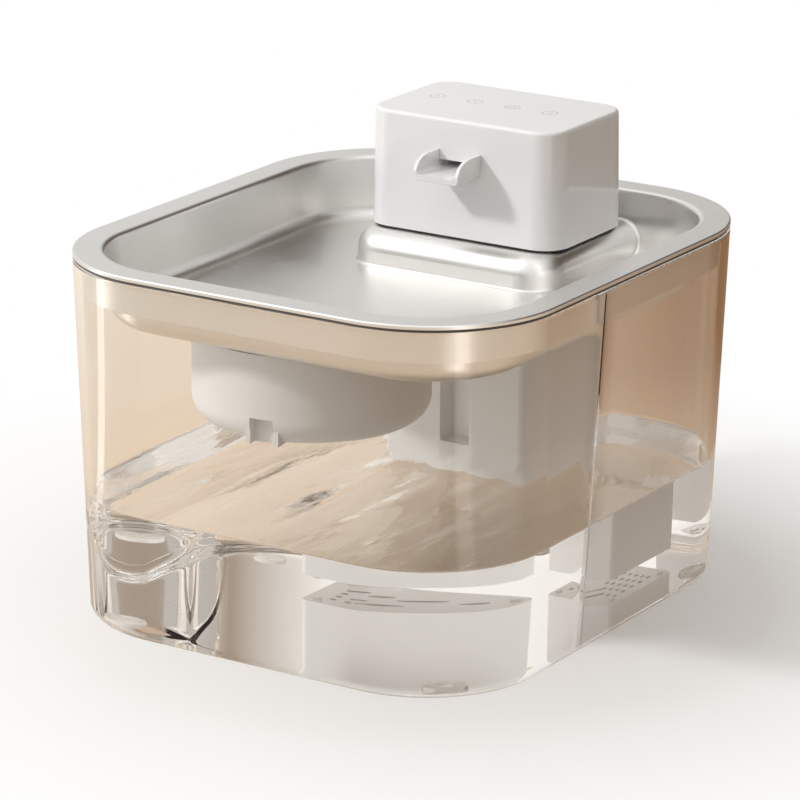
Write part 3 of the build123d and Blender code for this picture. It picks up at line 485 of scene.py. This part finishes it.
def make_tank():
    """The clear tank, with its groove on the outer face from just above the base up to the lip."""
    base_z, floor_z, lip_z = UNDERSIDE + BASE_ROUND, FLOOR + FLOOR_ROUND, LIP - LIP_ROUND
    outer = arc(tank_reach(base_z) - BASE_ROUND, base_z, BASE_ROUND, -math.pi / 2, -LEAN, ROUNDING_STEPS)
    outer += [(tank_reach(z), z) for z in (base_z + 1 * MM, WATER, lip_z - 1 * MM)]
    lip = arc(tank_reach(lip_z) - LIP_ROUND, lip_z, LIP_ROUND, -LEAN, math.pi / 2, LIP_STEPS)
    lip += arc(tank_reach(lip_z) - WALL + LIP_ROUND, lip_z, LIP_ROUND, math.pi / 2, math.pi - LEAN, LIP_STEPS)
    wet_edge = WATER + WATER_CLIMB
    dry = [(tank_reach(z) - WALL, z) for z in (lip_z - 1 * MM, 0.5 * (LIP + WATER), wet_edge)]
    wet = [(tank_reach(z) - WALL, z) for z in (WATER / 2, floor_z + 1 * MM)]
    inner_reach = tank_reach(floor_z) - WALL - FLOOR_ROUND
    wet += arc(inner_reach, floor_z, FLOOR_ROUND, -LEAN, -math.pi / 2, ROUNDING_STEPS)
    grooved = range(ROUNDING_STEPS - 1, len(outer))  # rows that hold the groove, from the end of the rounding
    rows = [tank_row(*point, grooved=number in grooved) for number, point in enumerate(outer + lip)]
    first_wet = len(rows) + len(dry) - 1
    rows += [tank_row(*point) for point in dry + wet]
    tank = skin(
        "clear_tank", rows, "tank_base", [clear_plastic(), wet_face("wet_plastic")],
        lambda number: int(number >= first_wet), underside_with_recesses,
    )
    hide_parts("tank")
    return tank


def make_water():
    """Water up to the fill line, with a meniscus round its edge and ripples on it."""
    floor_z = FLOOR + WATER_GAP + FLOOR_ROUND
    inner_reach = tank_reach(floor_z) - WALL - WATER_GAP - FLOOR_ROUND
    rows = arc(inner_reach, floor_z, FLOOR_ROUND, -math.pi / 2, -LEAN, ROUNDING_STEPS)
    heights = (floor_z + 1 * MM, WATER / 2, WATER + WATER_CLIMB)
    rows += [(tank_reach(z) - WALL - WATER_GAP, z) for z in heights]
    sides = len(rows) - 1
    for i in range(1, MENISCUS_STEPS + 1):
        out = MENISCUS * (i / MENISCUS_STEPS) ** 2
        z = WATER + WATER_CLIMB * (1 - i / MENISCUS_STEPS) ** 2
        rows.append((tank_reach(z) - WALL - WATER_GAP - out, z))
    first, last = SIDE_PLACES[0], SIDE_PLACES[-1]
    many = [first + (last - first) * step / WATER_SIDE_STEPS for step in range(WATER_SIDE_STEPS + 1)]
    rows = [tank_row(*point, sides=many) for point in rows]
    edge = rows[-1]
    for step in range(1, WATER_RINGS):
        ring = [Vector((p.x, p.y, 0)) * (1 - step / WATER_RINGS) for p in edge]
        rows.append([p + Vector((0, 0, WATER + ripple(p))) for p in ring])
    water = skin(
        "water", rows, "tank_base", [wet_face("water_side"), water_top()],
        lambda number: int(number >= sides),
    )
    return water


for see_through in (make_tank(), make_water()):
    see_through.visible_shadow = False
    see_through.visible_diffuse = False


# ------------------------------------------------------------------ floor, light and camera
SEEN_LEFT = (0.93, 0.85, 0.74)  # the pale warm room that glass and metal show, towards the left
SEEN_MIDDLE = (0.78, 0.62, 0.47)
SEEN_FAR_RIGHT = (0.26, 0.14, 0.07)
# painted shadow of the object on the floor under the tank, in the tone that glass and metal show
SEEN_PAINTED_SHADOW = (0.22, 0.16, 0.11)
SEEN_FAR = (0.90, 0.87, 0.82)
SKY_FRONT = (0.93, 0.925, 0.91)
SKY_BACK_LEFT = (0.76, 0.75, 0.73)
SKY_RIGHT = (0.10, 0.075, 0.055)
SKY_THROUGH_LEFT = (0.94, 0.92, 0.88)
SKY_THROUGH_RIGHT = (0.34, 0.27, 0.21)
FILL_LEFT = (0.41, 0.407, 0.40)
FILL_RIGHT = (0.25, 0.215, 0.185)
FLOOR_FILL_LEFT = (1.12, 1.10, 1.06)
FLOOR_FILL_RIGHT = (0.19, 0.15, 0.115)
KEY_WAY = Vector((-0.55, -0.57, 0.61)).normalized()
LAMP_AIM = Vector((0, 0, 0.1))
# Upright panes that gloss shows: way x and y, brightness, half-width in degrees
WINDOWS = ((-0.91, -0.41, 3.0, 2.5), (0.82, -0.57, 1.2, 6.0))
PANE_CORE = 0.6  # share of a pane's half-width that is fully bright

# Where the floor's tones change, in metres: across is along x, and out is away from the object's middle
FLOOR_RADIUS = 6.0
WHITE_OUT = (0.14, 0.30)
PALE_ACROSS = (-0.5, -0.1)
SHADE_RIGHT = (-0.08, 0.19)  # towards behind right, along SHADE_WAY
SHADE_BACK = (-0.1, 0.3)  # square to that
SHADE_WAY = (0.85, 0.53)
# Where the painted shadow under the tank lies, out from the middle and across x, and how dark it gets
PAINTED_SHADOW_OUT, PAINTED_SHADOW_ACROSS, PAINTED_SHADOW_LEVEL = (0.09, 0.17), (-0.06, 0.05), 0.9
DISTANT_OUT = (0.75, 1.5)
FILL_ACROSS = (-0.24, 0.16)
PANES_OUT = (0.2, 0.28)

# Where the world's tones change, as the cosine to a way
UP, RIGHT, BEHIND_RIGHT = (0, 0, 1), (1, 0, 0), (0.57, 0.82, 0)
HIGH_LEVEL, HIGH = 1.25, (0.3, 1.0)
OVERHEAD_LEVEL, OVERHEAD = 2.6, (0.0, 1.0)
KEY_GLOW_LEVEL, KEY_GLOW = 1.6, (0.87, 0.985)
BACKWARDS = (-0.2, 0.8)
RIGHTWARDS = (-0.1, 0.8)


def panes(m, vector):
    """Brightness that upright panes of light add to reflections, by the compass bearing of vector."""
    level = m.node("ShaderNodeVectorMath", operation="MULTIPLY")
    m.link(vector, level.inputs[0])
    level.inputs[1].default_value = (1, 1, 0)
    unit = m.node("ShaderNodeVectorMath", operation="NORMALIZE")
    m.link(level.outputs["Vector"], unit.inputs[0])
    total = None
    for x, y, bright, half in WINDOWS:
        soft, full = (math.cos(math.radians(angle)) for angle in (half, PANE_CORE * half))
        facing = m.dot(unit.outputs["Vector"], Vector((x, y, 0)).normalized())
        pane = m.between(facing, 0.0, bright, soft, full)
        total = pane if total is None else m.math("ADD", total, pane)
    return total


def floor_look():
    """Pale floor with the object's shadow, fading to white.

    Glass and metal show it warm, darker behind right, and with a painted shadow of the object under the tank.
    """
    m = Mat("pale_floor", Roughness=0.6)
    m.mat.cycles.emission_sampling = "NONE"
    m.into("Base Color", m.colours(m.noise(3, 3), (0.3, (0.89, 0.885, 0.88)), (0.7, (0.92, 0.915, 0.91))))
    split = m.node("ShaderNodeSeparateXYZ")
    m.link(m.coords, split.inputs["Vector"])
    x, y = split.outputs["X"], split.outputs["Y"]
    measure = m.node("ShaderNodeVectorMath", operation="LENGTH")
    m.link(m.coords, measure.inputs[0])
    out = measure.outputs["Value"]

    def glow(colour):
        made = m.node("ShaderNodeEmission")
        if isinstance(colour, tuple):
            made.inputs["Color"].default_value = (*colour, 1)
        else:
            m.link(colour, made.inputs["Color"])
        return made.outputs["Emission"]

    ground = m.mixed(m.share(out, *WHITE_OUT), m.bsdf.outputs["BSDF"], glow((1.0, 1.0, 1.0)))
    near, far = SHADE_WAY
    along = m.math("ADD", m.math("MULTIPLY", x, near), m.math("MULTIPLY", y, far))
    away = m.math("SUBTRACT", m.math("MULTIPLY", y, near), m.math("MULTIPLY", x, far))
    shade = m.math("MULTIPLY", m.share(along, *SHADE_RIGHT), m.share(away, *SHADE_BACK))
    # Painted shadow of the object under the tank, shown only in glass and metal: strongest near the middle
    # and towards the right
    painted_shadow = m.between(out, PAINTED_SHADOW_LEVEL, 0.0, *PAINTED_SHADOW_OUT)
    painted_shadow = m.math("MULTIPLY", painted_shadow, m.share(x, *PAINTED_SHADOW_ACROSS))
    tone = m.colours(m.share(x, *PALE_ACROSS), (0.0, SEEN_LEFT), (1.0, SEEN_MIDDLE))
    tone = m.tinted(shade, tone, SEEN_FAR_RIGHT)
    tone = m.tinted(painted_shadow, tone, SEEN_PAINTED_SHADOW)
    tone = m.tinted(m.share(out, *DISTANT_OUT), tone, SEEN_FAR)
    paths = m.node("ShaderNodeLightPath").outputs
    seen = m.math("MAXIMUM", paths["Is Transmission Ray"], paths["Is Glossy Ray"])
    fill = m.colours(m.share(x, *FILL_ACROSS), (0.0, FLOOR_FILL_LEFT), (1.0, FLOOR_FILL_RIGHT))
    shine = glow((1.0, 0.99, 0.97))
    clear_of_object = m.math("MULTIPLY", m.share(out, *PANES_OUT), paths["Is Glossy Ray"])
    m.link(m.math("MULTIPLY", panes(m, m.coords), clear_of_object), shine.node.inputs["Strength"])
    both = m.node("ShaderNodeAddShader")
    m.link(glow(tone), both.inputs[0])
    m.link(shine, both.inputs[1])
    light = m.mixed(seen, glow(fill), both.outputs["Shader"])
    light = m.mixed(paths["Is Camera Ray"], light, ground)
    m.link(light, m.tree.nodes["Material Output"].inputs["Surface"])
    return m.mat


def make_floor():
    bm = bmesh.new()
    bmesh.ops.create_circle(bm, cap_ends=True, segments=96, radius=FLOOR_RADIUS)
    mesh = bpy.data.meshes.new("floor")
    bm.to_mesh(mesh)
    bm.free()
    floor = bpy.data.objects.new("floor", mesh)
    floor.data.materials.append(floor_look())
    scene.collection.objects.link(floor)


def make_world():
    """White behind the object, a pale room in its glass and metal, and light that is weaker on the right."""
    world = bpy.data.worlds.new("studio")
    scene.world = world
    world.use_nodes = True
    m = Nodes(world.node_tree, "Generated")

    def towards(way):
        return m.dot(m.coords, way)

    def room(strength, share, *stops):
        background = m.node("ShaderNodeBackground")
        m.link(m.colours(share, *stops), background.inputs["Color"])
        m.link(strength, background.inputs["Strength"])
        return background.outputs["Background"]

    paths = m.node("ShaderNodeLightPath").outputs
    white = m.tree.nodes["Background"]
    white.inputs["Color"].default_value = (1, 1, 1, 1)
    high = m.between(towards(UP), 1.0, HIGH_LEVEL, *HIGH)
    lamp_glow = m.between(towards(KEY_WAY), 0.0, KEY_GLOW_LEVEL, *KEY_GLOW)
    shine = m.math("MULTIPLY", m.math("ADD", lamp_glow, panes(m, m.coords)), paths["Is Glossy Ray"])
    backwards = m.share(towards(BEHIND_RIGHT), *BACKWARDS)
    overhead = m.between(towards(UP), 1.0, OVERHEAD_LEVEL, *OVERHEAD)
    rightwards = m.share(towards(RIGHT), *RIGHTWARDS)
    fill = room(overhead, rightwards, (0.0, FILL_LEFT), (1.0, FILL_RIGHT))
    bright = m.math("ADD", high, shine)
    front = (0.1, SKY_FRONT)
    sky = room(bright, backwards, front, (0.57, SKY_BACK_LEFT), (0.9, SKY_RIGHT))
    through = room(high, backwards, front, (0.57, SKY_THROUGH_LEFT), (0.95, SKY_THROUGH_RIGHT))
    light = m.mixed(paths["Is Glossy Ray"], fill, sky)
    light = m.mixed(paths["Is Transmission Ray"], light, through)
    light = m.mixed(paths["Is Camera Ray"], light, white.outputs["Background"])
    m.link(light, m.tree.nodes["World Output"].inputs["Surface"])


def lamp(name, way, distance, size, level):
    """A square lamp towards way. level is the brightness that it gives a white face turned to it."""
    data = bpy.data.lights.new(name, "AREA")
    data.shape = "SQUARE"
    data.size = size
    data.energy = level * math.pi ** 2 * distance ** 2
    obj = bpy.data.objects.new(name, data)
    way = Vector(way).normalized()
    obj.location = LAMP_AIM + way * distance
    obj.rotation_mode = "QUATERNION"
    obj.rotation_quaternion = way.to_track_quat("Z", "Y")
    obj.visible_glossy = False
    scene.collection.objects.link(obj)


def make_camera():
    """A long lens in front of the object's right, looking down on it, and rolled by less than a degree."""
    azimuth, elevation, roll = (math.radians(angle) for angle in (32.146, 17.268, 0.4275))
    distance, aside, above, aim_height = 1.7292, -0.0017557, 0.016231, 0.06
    back = Vector((
        math.sin(azimuth) * math.cos(elevation), -math.cos(azimuth) * math.cos(elevation), math.sin(elevation)
    ))
    level = Vector((math.cos(azimuth), math.sin(azimuth), 0))
    upright = back.cross(level)
    right = level * math.cos(roll) + upright * math.sin(roll)
    up = upright * math.cos(roll) - level * math.sin(roll)
    data = bpy.data.cameras.new("camera")
    data.sensor_width = 36.0
    data.lens = 202.5
    data.clip_start = 0.05
    camera = bpy.data.objects.new("camera", data)
    place = back * distance + right * aside + up * above + Vector((0, 0, aim_height))
    camera.matrix_world = Matrix.Translation(place) @ Matrix((right, up, back)).transposed().to_4x4()
    scene.collection.objects.link(camera)
    scene.camera = camera


make_floor()
make_world()
lamp("key", KEY_WAY, distance=1.7, size=0.18, level=0.48)
make_camera()
scene.view_settings.view_transform = "Standard"
# Light crosses the tank's walls and the water many times before it leaves
scene.cycles.max_bounces = scene.cycles.transmission_bounces = scene.cycles.glossy_bounces = 48
scene.cycles.transparent_max_bounces = 64
